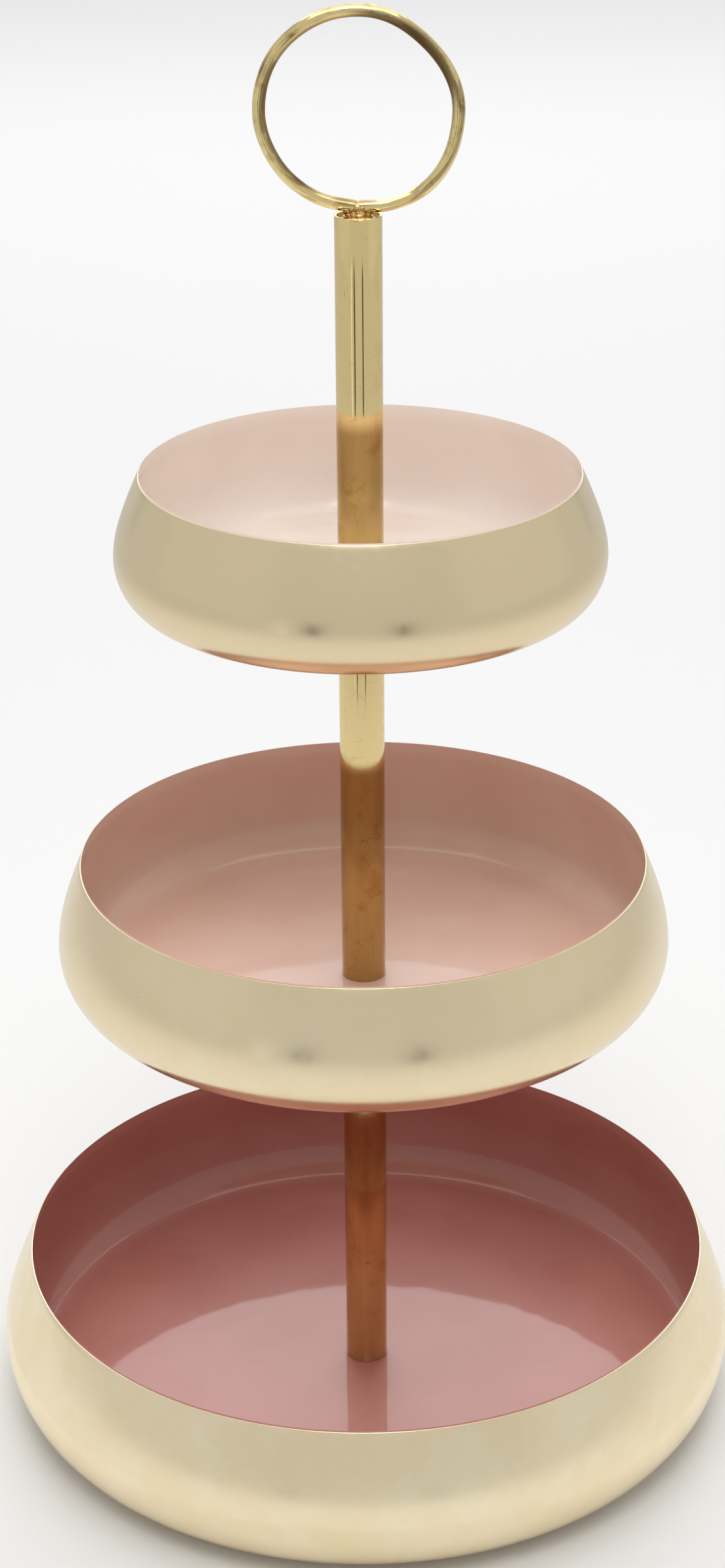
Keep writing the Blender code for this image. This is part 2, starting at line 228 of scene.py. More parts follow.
# Gaps between the panels, which the stem mirrors as dark lines, and one narrow gleam.
WEDGE_NEAR, WEDGE_FAR = 1.05, 8.8
GAP_WIDTH, GLEAM_WIDTH = 5.2, 2.4
GLEAM_GLOW = 1.2
for degrees, name in ((-21, "left_gap"), (18.5, "right_gap")):
    table_wedge(name, degrees, WEDGE_NEAR, WEDGE_FAR, GAP_WIDTH)
table_wedge("left_gleam", -35, WEDGE_NEAR, WEDGE_FAR, GLEAM_WIDTH, GLEAM_GLOW)
for name, side in (("back_left_gap", -1), ("back_right_gap", 1)):
    upright_card(name, (side * 3.0, 3.2), 0.10, 3.6)

room = bpy.data.worlds.new("white_room")
room.use_nodes = True
room.node_tree.nodes["Background"].inputs["Color"].default_value = (1, 1, 1, 1)
room.node_tree.nodes["Background"].inputs["Strength"].default_value = ROOM_WHITE
bpy.context.scene.world = room
bpy.context.scene.view_settings.view_transform = "Standard"

# %% [markdown]
# ## Writing shader maths
#
# A procedural finish is mostly sums: a noise is stretched, cut off at a level, and added to
# another. Wired by hand that is dozens of Math nodes. Here a small class stands for a node's
# output, and Python's own operators add the nodes, so that a mask reads as the sum that it is.

# %% Shader maths
class Link:
    """A node's output. Adding, taking away, multiplying and dividing it each make a Math node."""

    def __init__(self, finish, socket):
        self.finish = finish
        self.socket = socket

    def sum(self, operation, first, second):
        settings = {"operation": operation}
        return self.finish.node("ShaderNodeMath", settings, {0: first, 1: second})

    def __add__(self, other):
        return self.sum("ADD", self, other)

    def __sub__(self, other):
        return self.sum("SUBTRACT", self, other)

    def __mul__(self, other):
        return self.sum("MULTIPLY", self, other)

    def __truediv__(self, other):
        return self.sum("DIVIDE", self, other)

    def __rsub__(self, other):
        return self.sum("SUBTRACT", other, self)

    def __abs__(self):
        return self.sum("ABSOLUTE", self, 0)

    __radd__ = __add__
    __rmul__ = __mul__


class Finish:
    """A material that is built up from nodes."""

    def __init__(self, name):
        self.material = bpy.data.materials.get(name) or bpy.data.materials.new(name)
        self.material.use_nodes = True
        self.nodes = self.material.node_tree.nodes
        self.shader = self.nodes["Principled BSDF"]
        self.spot = self.node("ShaderNodeTexCoord", output="Object")

    def fill(self, sockets, values):
        for name, value in values.items():
            if isinstance(value, Link):
                self.material.node_tree.links.new(value.socket, sockets[name])
            else:
                sockets[name].default_value = value

    def node(self, kind, settings={}, sockets={}, output=0):
        """Adds a node, its settings first and then its sockets, and gives back an output."""
        made = self.nodes.new(kind)
        for name, value in settings.items():
            setattr(made, name, value)
        self.fill(made.inputs, sockets)
        return Link(self, made.outputs[output])

    def shade(self, **sockets):
        """Sets sockets of the shader itself; Base_Color stands for Base Color."""
        self.fill(self.shader.inputs, {name.replace("_", " "): v for name, v in sockets.items()})
        return self.material


print("shader maths ready")

# %% [markdown]
# ## Noises, levels and lines
#
# Every finish on this stand is put together from the same few marks: cloudy patches, hair
# scratches, small specks, and the rings that a lathe leaves. Each is one short function that says
# how big the mark is on the real piece. All of them read Object coordinates, which here are
# metres from the foot of the stem, so a 6 mm patch is 6 mm on a bowl and on a tube alike.

# %% Marks that finishes share
def noise(finish, size, detail=2.0, where=None, roughness=0.5):
    """Cloudy noise from 0 to 1, whose patches are about size across."""
    settings = {"Vector": where or finish.spot, "Scale": 1 / size, "Detail": detail}
    return finish.node("ShaderNodeTexNoise", {}, {**settings, "Roughness": roughness})


def level(finish, value, low, high, start=0.0, end=1.0):
    """Eases from start to end as value goes from low to high, and stays flat outside them."""
    sockets = {"Value": value, 1: low, 2: high, 3: start, 4: end}
    return finish.node("ShaderNodeMapRange", {"interpolation_type": "SMOOTHSTEP"}, sockets)


def mix(finish, mask, first, second):
    """first where mask is 0 and second where it is 1, as colours."""
    return finish.node("ShaderNodeMix", {"data_type": "RGBA"}, {0: mask, 6: first, 7: second}, 2)


def split(finish, vector):
    """The three parts of a vector or a colour."""
    made = finish.nodes.new("ShaderNodeSeparateXYZ")
    finish.fill(made.inputs, {0: vector})
    return [Link(finish, output) for output in made.outputs]


def join(finish, x, y, z):
    return finish.node("ShaderNodeCombineXYZ", {}, {0: x, 1: y, 2: z})


def specks(finish, spacing, size, share):
    """Round specks of about size, in a share of the cells that lie spacing apart."""
    made = finish.nodes.new("ShaderNodeTexVoronoi")
    finish.fill(made.inputs, {"Vector": finish.spot, "Scale": 1 / spacing})
    reach = level(finish, Link(finish, made.outputs["Distance"]), 0, size / spacing, 1, 0)
    pick = split(finish, Link(finish, made.outputs["Color"]))[0]
    return reach * level(finish, pick, share - 0.01, share + 0.01, 1, 0)


def hairlines(finish, length, width, share, where=None):
    """Fine curved scratches, in patches that cover about a share of the surface."""
    lines = noise(finish, length, 1.0, where)
    near = level(finish, abs(lines - 0.5), 0, width / length, 1, 0)
    patches = level(finish, noise(finish, length * 0.7, 1.0), 1 - share, 1.06 - share)
    return near * patches


def bump(finish, height, depth):
    """A bump whose full height is depth, in metres."""
    return finish.node("ShaderNodeBump", {}, {"Height": height, "Distance": depth})


def colour(red, green, blue):
    """A colour given as a screen shows it, 0 to 255, as the linear light that a shader takes."""
    linear = [((part / 255 + 0.055) / 1.055) ** 2.4 for part in (red, green, blue)]
    return (*linear, 1.0)


def round_the_stem(finish):
    """(direction from the axis as x and y, distance from it, height)."""
    x, y, height = split(finish, finish.spot)
    reach = finish.node("ShaderNodeMath", {"operation": "SQRT"}, {0: x * x + y * y})
    return x / reach, y / reach, reach, height


sweep = Finish("grey_sweep")
away = round_the_stem(sweep)[2]
glow = level(sweep, away, SWEEP_START, SWEEP_END, SWEEP_NEAR_GLOW, SWEEP_GLOW)
sweep.shade(Emission_Color=join(sweep, glow, glow, glow))
print("marks ready")

# %% [markdown]
# ## Spun brass
#
# Each bowl is a brass disc pressed over a turning form, then polished and lacquered. The lathe
# leaves very fine rings, which are too shallow to see one by one but which draw each reflection
# out a little. Hand polishing leaves the sheet slightly wavy, and the lacquer dries in faint
# clouds. A few pits and hair scratches come from use. The polish is satin, so that a reflection
# has soft edges. The waves go into the bump, where they bend the reflections, and the clouds go
# into the colour and the gloss.

# %% Spun brass finish
SPUN_PALE = colour(252, 237, 203)
SPUN_WARM = colour(249, 231, 193)
# A deeper brass colour, used as painted shade on the higher bowls.
SPUN_PAINTED_SHADE = colour(240, 221, 182)
PIT_BROWN = colour(120, 92, 52)
SPUN_SATIN = 0.20


def spun_brass():
    finish = Finish("spun_brass")
    across_x, across_y, reach, height = round_the_stem(finish)
    ring_place = join(finish, across_x * 2.5, across_y * 2.5, (height + reach * 0.3) / (0.45 * MM))
    rings = noise(finish, 1, 3.0, ring_place)
    waves = noise(finish, 34 * MM, 1.5)
    clouds = noise(finish, 26 * MM, 4.0, roughness=0.6)
    lacquer = noise(finish, 3.2 * MM, 3.0, roughness=0.62)
    pits = specks(finish, 15 * MM, 0.32 * MM, 0.5)
    scratches = hairlines(finish, 30 * MM, 0.03 * MM, 0.3)
    tone = level(finish, clouds, 0.35, 0.68)
    base = mix(finish, tone, SPUN_WARM, SPUN_PALE)
    # Painted shade: the brass turns deeper the higher it stands, from 0.10 to 0.34 m up, so the top
    # bowl is darkest.
    base = mix(finish, level(finish, height, 0.10, 0.34), base, SPUN_PAINTED_SHADE)
    base = mix(finish, scratches * 0.2, base, PIT_BROWN)
    base = mix(finish, pits * 0.8, base, PIT_BROWN)
    height_map = waves * 0.45 + lacquer * 0.003 + rings * 0.0015 - pits * 0.10
    return finish.shade(
        Base_Color=base,
        Metallic=1.0,
        Roughness=SPUN_SATIN + level(finish, lacquer, 0.3, 0.75) * 0.05 + scratches * 0.1
        + rings * 0.02,
        Normal=bump(finish, height_map, 0.16 * MM),
    )


bowl_finish = spun_brass()
print("made", bowl_finish.name)

# %% [markdown]
# ## Drawn tube, bent wire and braze
#
# The stem tubes are drawn brass of a deeper yellow. They were rubbed with fine abrasive across
# their length, so they carry short rings of hair scratches, and they have tarnished in soft brown
# blotches. Low down, up to a set height above each bowl's rim, they carry a painted reflection: a
# darker brown that stands for the shaded enamel that the tube mirrors there. The ring is the same
# metal as wire: it is brighter, with long draw lines that run round with it and a few dark nicks.
# Braze is a little rougher, with patches where the copper in it came out as it melted.

# %% Brass of the stem and the ring
TUBE_YELLOW = colour(244, 220, 160)
TUBE_BROWN = colour(206, 164, 92)
# The darker brown of the painted reflection of the bowls, low on the stem.
TUBE_PAINTED_REFLECTION = colour(150, 118, 58)
NICK_BROWN = colour(70, 45, 20)
WIRE_YELLOW = colour(244, 222, 160)
WIRE_BROWN = colour(112, 78, 36)
BRAZE_GOLD = colour(244, 218, 158)
BRAZE_COPPER = colour(188, 142, 84)


# How far up a tube the painted reflection of the bowls reaches above each bowl's rim.
PAINTED_REFLECTION_REACH = {"bottom": 90 * MM, "middle": 44 * MM, "top": 22 * MM}
PAINTED_REFLECTION_FADE = 7 * MM


def where_reflection_is_painted(finish, height):
    """Where the stem gets the painted reflection of the bowls: from each bowl's underside to a set
    height above its rim, and 0 above.
    """
    masks = []
    for tier, strength in (("bottom", 0.6), ("middle", 1.0), ("top", 1.0)):
        top = bowls[tier]["rim"] + PAINTED_REFLECTION_REACH[tier]
        below = level(finish, height, top - PAINTED_REFLECTION_FADE, top, strength, 0)
        masks.append(below * level(finish, height, bowls[tier]["under"], bowls[tier]["under"] + MM))
    return masks[0] + masks[1] + masks[2]


def tube_brass():
    finish = Finish("tube_brass")
    across_x, across_y, _, height = round_the_stem(finish)
    rub_place = join(finish, across_x * 3.5, across_y * 3.5, (height + across_x * MM) / (0.22 * MM))
    rubbing = noise(finish, 1, 4.0, rub_place, 0.7)
    draw_place = join(finish, across_x * 42, across_y * 42, height / (45 * MM))
    drawing = noise(finish, 1, 2.0, draw_place)
    score_place = join(finish, across_x * 9, across_y * 9, height / (60 * MM))
    scores = level(finish, abs(noise(finish, 1, 1.0, score_place) - 0.5), 0, 0.006, 1, 0)
    scores = scores * level(finish, noise(finish, 13 * MM, 2.0), 0.56, 0.62)
    blotches = noise(finish, 9 * MM, 5.0, roughness=0.65)
    nicks = specks(finish, 7 * MM, 0.32 * MM, 0.4)
    scratches = hairlines(finish, 14 * MM, 0.05 * MM, 0.5)
    tarnish = level(finish, blotches, 0.52, 0.75)
    # Painted reflection: from each bowl up to a set height, the tube turns a darker brown that
    # stands for the shaded enamel it mirrors, made uneven by the tarnish blotches.
    painted_reflection = where_reflection_is_painted(finish, height)
    base = mix(finish, painted_reflection * (0.72 + tarnish * 0.28), TUBE_YELLOW, TUBE_PAINTED_REFLECTION)
    base = mix(finish, tarnish * 0.3, base, TUBE_BROWN)
    base = mix(finish, level(finish, rubbing, 0.55, 0.75) * 0.12, base, TUBE_BROWN)
    base = mix(finish, scratches * 0.35 + nicks * 0.8 + scores * 0.6, base, NICK_BROWN)
    height_map = rubbing * 0.08 + drawing * 0.16 - nicks * 0.8 - scratches * 0.2
    return finish.shade(
        Base_Color=base,
        Metallic=1.0,
        Roughness=0.07 + tarnish * 0.06 + level(finish, rubbing, 0.45, 0.85) * 0.10,
        Normal=bump(finish, height_map, 0.012 * MM),
    )


def wire_brass(half_width, half_height, centre_height):
    """The finish of an upright ring of wire: across runs from -1 on its inside to 1 outside."""
    finish = Finish("wire_brass")
    x, y, height = split(finish, finish.spot)
    side = x / half_width
    up = (height - centre_height) / half_height
    reach = finish.node("ShaderNodeMath", {"operation": "SQRT"}, {0: side * side + up * up})
    across = (reach - 1) / (WIRE_RADIUS / half_height)
    turn_x, turn_up = side / reach, up / reach
    draw_place = join(finish, turn_x * 3.0, turn_up * 3.0, across * 4 + y / (0.5 * MM))
    drawing = noise(finish, 1, 3.0, draw_place, 0.6)
    streak_place = join(finish, turn_x * 1.6, turn_up * 1.6, across * 1.3 + y / (2.2 * MM))
    streaks = level(finish, noise(finish, 1, 1.0, streak_place), 0.52, 0.6)
    blotches = noise(finish, 6 * MM, 4.0, roughness=0.6)
    grit = noise(finish, 0.5 * MM, 3.0, roughness=0.7)
    nicks = specks(finish, 4.5 * MM, 0.34 * MM, 0.35)
    tarnish = level(finish, blotches, 0.5, 0.7)
    # Painted shade: the ring's inner face is darkened to brown, with an edge made ragged by the
    # tarnish blotches.
    painted_inner_shade = level(finish, across + tarnish * 0.3, -0.85, -0.2, 1, 0)
    # A darker brown patch on the wire's upper right, towards its inner face.
    upper_right_side = level(finish, turn_x * 0.66 + turn_up * 0.75, 0.62, 0.86)
    dark_patch = upper_right_side * level(finish, across + grit * 0.6, 0.1, 0.75, 1, 0)
    base = mix(finish, tarnish * 0.3 + streaks * 0.5, WIRE_YELLOW, WIRE_BROWN)
    base = mix(finish, painted_inner_shade * 0.75, base, WIRE_BROWN)
    base = mix(finish, level(finish, drawing, 0.56, 0.72) * 0.3, base, WIRE_BROWN)
    base = mix(finish, dark_patch * 0.75 + nicks * 0.9, base, NICK_BROWN)
    return finish.shade(
        Base_Color=base,
        Metallic=1.0,
        Roughness=0.10 + tarnish * 0.08 + painted_inner_shade * 0.12 + dark_patch * 0.1,
        Normal=bump(finish, drawing * 0.5 + blotches * 0.8 + painted_inner_shade * grit - nicks, 0.05 * MM),
    )


def braze_brass():
    finish = Finish("braze_brass")
    runs = noise(finish, 1.3 * MM, 3.0, roughness=0.6)
    grains = noise(finish, 0.3 * MM, 2.0)
    base = mix(finish, level(finish, runs, 0.42, 0.62), BRAZE_COPPER, BRAZE_GOLD)
    base = mix(finish, specks(finish, 1.4 * MM, 0.22 * MM, 0.4) * 0.8, base, NICK_BROWN)
    return finish.shade(
        Base_Color=base,
        Metallic=1.0,
        Roughness=0.12 + level(finish, grains, 0.4, 0.7) * 0.14,
        Normal=bump(finish, runs * 0.8 + grains * 0.10, 0.10 * MM),
    )


ring_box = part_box("ring_handle")
RING_HALF_HEIGHT = 33.8 * MM
WIRE_RADIUS = 2.3 * MM
ring_centre = ring_box[1].z - WIRE_RADIUS - RING_HALF_HEIGHT
ring_half_width = ring_box[1].x - WIRE_RADIUS
tube_finish = tube_brass()
wire_finish = wire_brass(ring_half_width, RING_HALF_HEIGHT, ring_centre)
braze_finish = braze_brass()
print("ring's centre is", round(ring_centre / MM, 1), "mm up")

# %% [markdown]
# ## Enamel
#
# The insides are sprayed with a thick gloss enamel in three pinks, palest at the top. It is a
# clear shiny skin over colour, so it mirrors the wall and the sky over the rim at a low angle.
# Sprayed enamel is never quite flat: it has a slow swell, which bends the edge of a reflection,
# and a fine orange peel. Dust makes a few dark pinholes.

# %% Enamel finish
def enamel(name, pigment, depth_tint):
    """A gloss enamel of one pigment, a little stronger in tone where it pooled."""
    finish = Finish(name)
    pool = noise(finish, 38 * MM, 3.0)
    swell = noise(finish, 21 * MM, 1.5)
    peel = noise(finish, 1.6 * MM, 2.0)
    dust = specks(finish, 26 * MM, 0.34 * MM, 0.35)
    base = mix(finish, level(finish, pool, 0.35, 0.7), pigment, depth_tint)
    base = mix(finish, dust * 0.75, base, colour(70, 40, 34))
    return finish.shade(
        Base_Color=base,
        Roughness=0.045 + level(finish, peel, 0.35, 0.75) * 0.03,
        IOR=1.4,
        Coat_Weight=1.0,
        Coat_Roughness=0.45,
        Normal=bump(finish, swell * 0.9 + peel * 0.010 - dust * 0.15, 0.11 * MM),
    )


enamels = {
    "bottom": enamel("rose_enamel", colour(190, 124, 114), colour(185, 117, 107)),
    "middle": enamel("pink_enamel", colour(227, 192, 176), colour(223, 185, 168)),
    "top": enamel("blush_enamel", colour(244, 231, 222), colour(241, 226, 216)),
}
print("made", [made.name for made in enamels.values()])

# %% [markdown]
# ## Steel, plain brass and silicone
#
# The fixings are plated steel with the dull shine of a barrel finish. The bushes in the tubes'
# ends are raw turned brass, which keeps its tool rings. The four feet are clear-grey silicone
# that picks up a little dust.

# %% Finishes of the fixings
def turned_metal(name, shade, dark, gloss):
    """A lathe-cut metal with tool rings about the stem, and stains."""
    finish = Finish(name)
    across_x, across_y, reach, height = round_the_stem(finish)
    ring_place = join(finish, across_x * 2, across_y * 2, (height + reach) / (0.18 * MM))
    rings = noise(finish, 1, 2.0, ring_place)
    stain = noise(finish, 3.5 * MM, 4.0, roughness=0.65)
    base = mix(finish, level(finish, stain, 0.45, 0.72) * 0.6, shade, dark)
    return finish.shade(
        Base_Color=base,
        Metallic=1.0,
        Roughness=gloss + level(finish, stain, 0.35, 0.7) * 0.15,
        Normal=bump(finish, rings * 0.5 + stain * 0.3, 0.02 * MM),
    )


def silicone():
    finish = Finish("pad_silicone")
    grain = noise(finish, 0.4 * MM, 3.0)
    dust = noise(finish, 5 * MM, 4.0, roughness=0.7)
    base = mix(finish, level(finish, dust, 0.4, 0.75), colour(214, 212, 206), colour(188, 184, 176))
    return finish.shade(
        Base_Color=base,
        Roughness=0.42 + level(finish, dust, 0.4, 0.7) * 0.2,
        Subsurface_Weight=0.2,
        Subsurface_Radius=(2 * MM, 2 * MM, 2 * MM),
        Normal=bump(finish, grain, 0.02 * MM),
    )


steel_finish = turned_metal("plated_steel", colour(196, 196, 192), colour(140, 138, 132), 0.26)
bush_finish = turned_metal("turned_brass", colour(206, 180, 112), colour(150, 116, 62), 0.28)
solder_finish = turned_metal("solder_film", colour(188, 176, 156), colour(120, 92, 62), 0.22)
pad_finish = silicone()
print("made the finishes of the fixings")

# %% [markdown]
# ## Modelling by hand, in code
#
# The pieces are modelled with the same operators that a person clicks on: add a shape, pick some
# edges, extrude, scale, bevel. An operator works on whatever is selected, so each step starts by
# clearing the selection, and faces or edges are picked by where they are. Every finished piece
# keeps its origin at the foot of the stem, as the working model's pieces do.

# %% Modelling helpers
def start(add, **settings):
    """Adds a primitive, puts its origin at the foot of the stem and opens it for editing."""
    bpy.ops.object.select_all(action="DESELECT")
    add(**settings)
    bpy.ops.object.transform_apply(location=True, rotation=True, scale=True)
    bpy.ops.object.mode_set(mode="EDIT")
    bpy.ops.mesh.select_all(action="SELECT")
    return bpy.context.object


def pick(kind, test):
    """Selects the verts, edges or faces that pass the test, and nothing else."""
    modes = {"verts": "VERT", "edges": "EDGE", "faces": "FACE"}
    bpy.ops.mesh.select_mode(type=modes[kind])
    bpy.ops.mesh.select_all(action="DESELECT")
    shape = bmesh.from_edit_mesh(bpy.context.object.data)
    chosen = [part for part in getattr(shape, kind) if test(part)]
    for part in chosen:
        part.select_set(True)
    shape.select_flush_mode()
    bmesh.update_edit_mesh(bpy.context.object.data)
    return len(chosen)


def pick_sharp(degrees):
    """Selects the edges where the surface turns by more than this."""
    bpy.ops.mesh.select_mode(type="EDGE")
    bpy.ops.mesh.select_all(action="DESELECT")
    bpy.ops.mesh.edges_select_sharp(sharpness=math.radians(degrees))


def apply_modifier(kind, **settings):
    """Adds a modifier with these settings to the piece being made and applies it."""
    bpy.ops.object.mode_set(mode="OBJECT")
    bpy.ops.object.modifier_add(type=kind)
    modifier = bpy.context.object.modifiers[-1]
    for name, value in settings.items():
        setattr(modifier, name, value)
    bpy.ops.object.modifier_apply(modifier=modifier.name)


def recalculate_normals():
    bpy.ops.object.mode_set(mode="EDIT")
    bpy.ops.mesh.select_all(action="SELECT")
    bpy.ops.mesh.normals_make_consistent(inside=False)


def finish_piece(name, body, surface, smooth=35):
    """Names the piece, gives it its finish, and lets it stand for the node of the same name."""
    bpy.ops.object.mode_set(mode="OBJECT")
    piece = bpy.context.object
    bpy.ops.object.shade_smooth_by_angle(angle=math.radians(smooth))
    piece.name = piece.data.name = f"{name}_finished"
    piece.data.materials.clear()
    piece.data.materials.append(surface)
    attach(piece, body)
    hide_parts(name)
    print(piece.name, "has", len(piece.data.polygons), "faces")
    return piece


print("helpers ready")

# %% [markdown]
# ## The bowls' walls
#
# A spun bowl is one sheet that leans in to its rim, swells below it and rounds under to a flat
# floor. Above the swell the wall follows a hyperbola, which is nearly straight at the rim, and
# below it a quarter of an ellipse. It could be turned from a drawn outline with the Screw
# modifier. Here a ring of edges is extruded and scaled from height to height instead, which is
# close to what the spinner's roller does. The sheet gets its thickness last, inwards, so that the
# outside stays where the design has it. It thins to less than half at the rim, and the outer edge
# there is broken with a small bevel.

# %% Model the bowl shells
WALL_LEAN = 0.5
SHEET = 0.9 * MM
BOWL_SIDES = 192
WALL_STEPS = 14
FOOT_STEPS = 18
FLOOR_STEPS = 6
RIM_ROUND = 0.12 * MM
RIM_SHEET = 0.4 * MM


def wall_line(bowl, depth, drop=0.0):
    """(radius, height) down a bowl at this depth inside its outer face, from drop under its rim."""
    rise = bowl["rim"] - bowl["swell_height"]
    run = (bowl["widest"] - bowl["rim_radius"]) / WALL_LEAN
    bend = (rise**2 - run**2) / (2 * run)
    line = []
    for step in range(WALL_STEPS):
        above = (rise - drop) * (1 - step / WALL_STEPS)
        reach = math.hypot(above, bend)
        radius = bowl["widest"] - WALL_LEAN * (reach - bend)
        slope = WALL_LEAN * above / reach
        tilt = math.hypot(1, slope)
        height = bowl["swell_height"] + above
        line.append((radius - depth / tilt, height - depth * slope / tilt))
    foot_round = bowl["widest"] - bowl["floor_radius"]
    foot_drop = bowl["swell_height"] - bowl["under"]
    for step in range(FOOT_STEPS + 1):
        turn = math.pi / 2 * step / FOOT_STEPS
        out, down = math.cos(turn), math.sin(turn)
        tilt = math.hypot(out / foot_round, down / foot_drop)
        radius = bowl["widest"] - foot_round * (1 - out) - depth * out / foot_round / tilt
        height = bowl["swell_height"] - foot_drop * down + depth * down / foot_drop / tilt
        line.append((radius, height))
    edge, floor_height = line[-1]
    for step in range(1, FLOOR_STEPS + 1):
        share = step / FLOOR_STEPS
        line.append((edge + (bowl["hole_radius"] - edge) * share, floor_height))
    return line


def extrude_rings(line, sides):
    """A circle at the line's first point, extruded and scaled from point to point."""
    radius, height = line[0]
    start(bpy.ops.mesh.primitive_circle_add, vertices=sides, radius=radius,
          location=(0, 0, height))
    for next_radius, next_height in line[1:]:
        move = {"value": (0, 0, next_height - height)}
        bpy.ops.mesh.extrude_region_move(TRANSFORM_OT_translate=move)
        scale = next_radius / radius
        bpy.ops.transform.resize(value=(scale, scale, 1), center_override=(0, 0, 0))
        radius, height = next_radius, next_height


def face_outwards():
    """Turns an open turned skin so that its widest faces look away from the stem."""
    recalculate_normals()
    shape = bmesh.from_edit_mesh(bpy.context.object.data)
    widest = max(shape.faces, key=lambda face: face.calc_center_median().xy.length)
    if widest.normal.xy.dot(widest.calc_center_median().xy) < 0:
        bpy.ops.mesh.flip_normals()


def is_rim_edge(edge, tier, from_depth, to_depth):
    """True for an edge round the rim, between these two distances in from the outer face."""
    bowl = bowls[tier]
    middle = (edge.verts[0].co + edge.verts[1].co) / 2
    inwards = bowl["rim_radius"] - middle.xy.length
    level_with_rim = abs(edge.verts[0].co.z - edge.verts[1].co.z) < TOUCH
    near_rim = middle.z > bowl["rim"] - 1.2 * MM
    slack = 0.2 * MM
    return near_rim and level_with_rim and from_depth - slack / 4 < inwards < to_depth + slack


def move_rim_ring(tier, depths, new_depth, rise=0):
    """Moves the ring of edges found between these depths at the rim to another depth."""
    pick("edges", lambda edge: is_rim_edge(edge, tier, *depths))
    shape = bmesh.from_edit_mesh(bpy.context.object.data)
    point = next(vert.co for vert in shape.verts if vert.select)
    spread = (bowls[tier]["rim_radius"] - new_depth) / point.xy.length
    lift = bowls[tier]["rim"] + rise - point.z
    bpy.ops.transform.resize(value=(spread, spread, 1), center_override=(0, 0, 0))
    bpy.ops.transform.translate(value=(0, 0, lift))


def add_bowl_shell(tier, body):
    extrude_rings(wall_line(bowls[tier], 0), BOWL_SIDES)
    face_outwards()
    apply_modifier("SOLIDIFY", thickness=SHEET, offset=-1, use_even_offset=True)
    bpy.ops.object.mode_set(mode="EDIT")
    move_rim_ring(tier, (SHEET / 2, SHEET), RIM_SHEET)
    pick("edges", lambda edge: is_rim_edge(edge, tier, 0, SHEET / 8))
    bpy.ops.mesh.bevel(offset=RIM_ROUND, segments=3, affect="EDGES")
    finish_piece(f"{tier}_bowl_shell", body, bowl_finish)


BOWL_BODIES = {"bottom": "base", "middle": "middle_bowl", "top": "top_bowl"}
for tier in TIERS:
    add_bowl_shell(tier, BOWL_BODIES[tier])

# %% [markdown]
# ## The enamel coats
#
# The enamel is a skin on the inside of each bowl. It is modelled as its own piece that follows the
# same wall from the brass inwards. Near the rim it thins with the brass to a narrow lip, a hair
# lower on the inside, whose inner edge is rounded. Only a fine line of brass frames the colour.

# %% Model the enamel coats
WIPED_EDGE = 0.25 * MM
COAT_START = SHEET + 0.01 * MM
ENAMEL = 0.5 * MM
BEAD_ROUND = 0.12 * MM
LIP_INNER = 0.78 * MM
LIP_DROP = 0.12 * MM


def add_enamel_coat(tier, body):
    bowl = bowls[tier]
    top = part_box(f"{tier}_bowl_enamel")[0].z - bowl["under"]
    coat = top + ENAMEL - COAT_START
    extrude_rings(wall_line(bowl, COAT_START, WIPED_EDGE), BOWL_SIDES)
    face_outwards()
    apply_modifier("SOLIDIFY", thickness=coat, offset=-1, use_even_offset=True)
    bpy.ops.object.mode_set(mode="EDIT")
    move_rim_ring(tier, (SHEET + 0.3 * MM, SHEET + 0.8 * MM), LIP_INNER, -LIP_DROP)
    move_rim_ring(tier, (SHEET / 2, SHEET + 0.2 * MM), RIM_SHEET)
    pick("edges", lambda edge: is_rim_edge(edge, tier, LIP_INNER - 0.1 * MM, LIP_INNER))
    bpy.ops.mesh.bevel(offset=BEAD_ROUND, segments=3, affect="EDGES")
    finish_piece(f"{tier}_bowl_enamel", body, enamels[tier])


for tier in TIERS:
    add_enamel_coat(tier, BOWL_BODIES[tier])

# %% [markdown]
# ## The stem tubes
#
# The tubes are plain drawn brass, cut square and broken at the edges with a file. Each stands
# straight on the enamel and carries the next bowl on its upper end, so here each is brought to
# within a hair of what it touches; the working model keeps a slightly larger gap there.

# %% Model the stem tubes
TUBE_SIDES = 128
TUBE_WALL = 1.0 * MM
FILED_EDGE = 0.22 * MM
CLOSE_UP = 0.25 * MM
TUBE_BODIES = {"lower_tube": "base", "middle_tube": "middle_stem", "upper_tube": "upper_stem"}


def add_tube(node, body):
    low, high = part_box(node)
    bottom = low.z - CLOSE_UP
    top = high.z + (0 if node == "upper_tube" else CLOSE_UP)
    start(bpy.ops.mesh.primitive_cylinder_add, vertices=TUBE_SIDES, radius=high.x,
          depth=top - bottom, location=(0, 0, (top + bottom) / 2), end_fill_type="NOTHING")
    apply_modifier("SOLIDIFY", thickness=TUBE_WALL, offset=-1, use_even_offset=True)
    bpy.ops.object.mode_set(mode="EDIT")
    pick_sharp(50)
    bpy.ops.mesh.bevel(offset=FILED_EDGE, segments=3, affect="EDGES")
    finish_piece(node, body, tube_finish)


for node, body in TUBE_BODIES.items():
    add_tube(node, body)

# %% [markdown]
# ## The ring
#
# The handle is a length of wire bent round a former, a little wider than it is tall. Near its
# ends the wire was too stiff to follow the bend, so the last stretches run straight and meet over
# the stem in a blunt V, with a fine cleft between the ends. It was bent by hand, so it strays from
# a true ring, most of all low on the right, where it bulges. The middle line is drawn first, as a
# circle of edges squeezed a little, and then given its thickness as a curve's bevel.

# %% Model the ring
RING_SIDES = 120
RING_END_SLOPE = math.radians(13)
RING_CLEFT = 0.04 * MM
WIRE_RESOLUTION = 6

bend_start = math.atan(ring_half_width / RING_HALF_HEIGHT * math.tan(RING_END_SLOPE))
ring_depth = RING_HALF_HEIGHT / math.cos(bend_start)


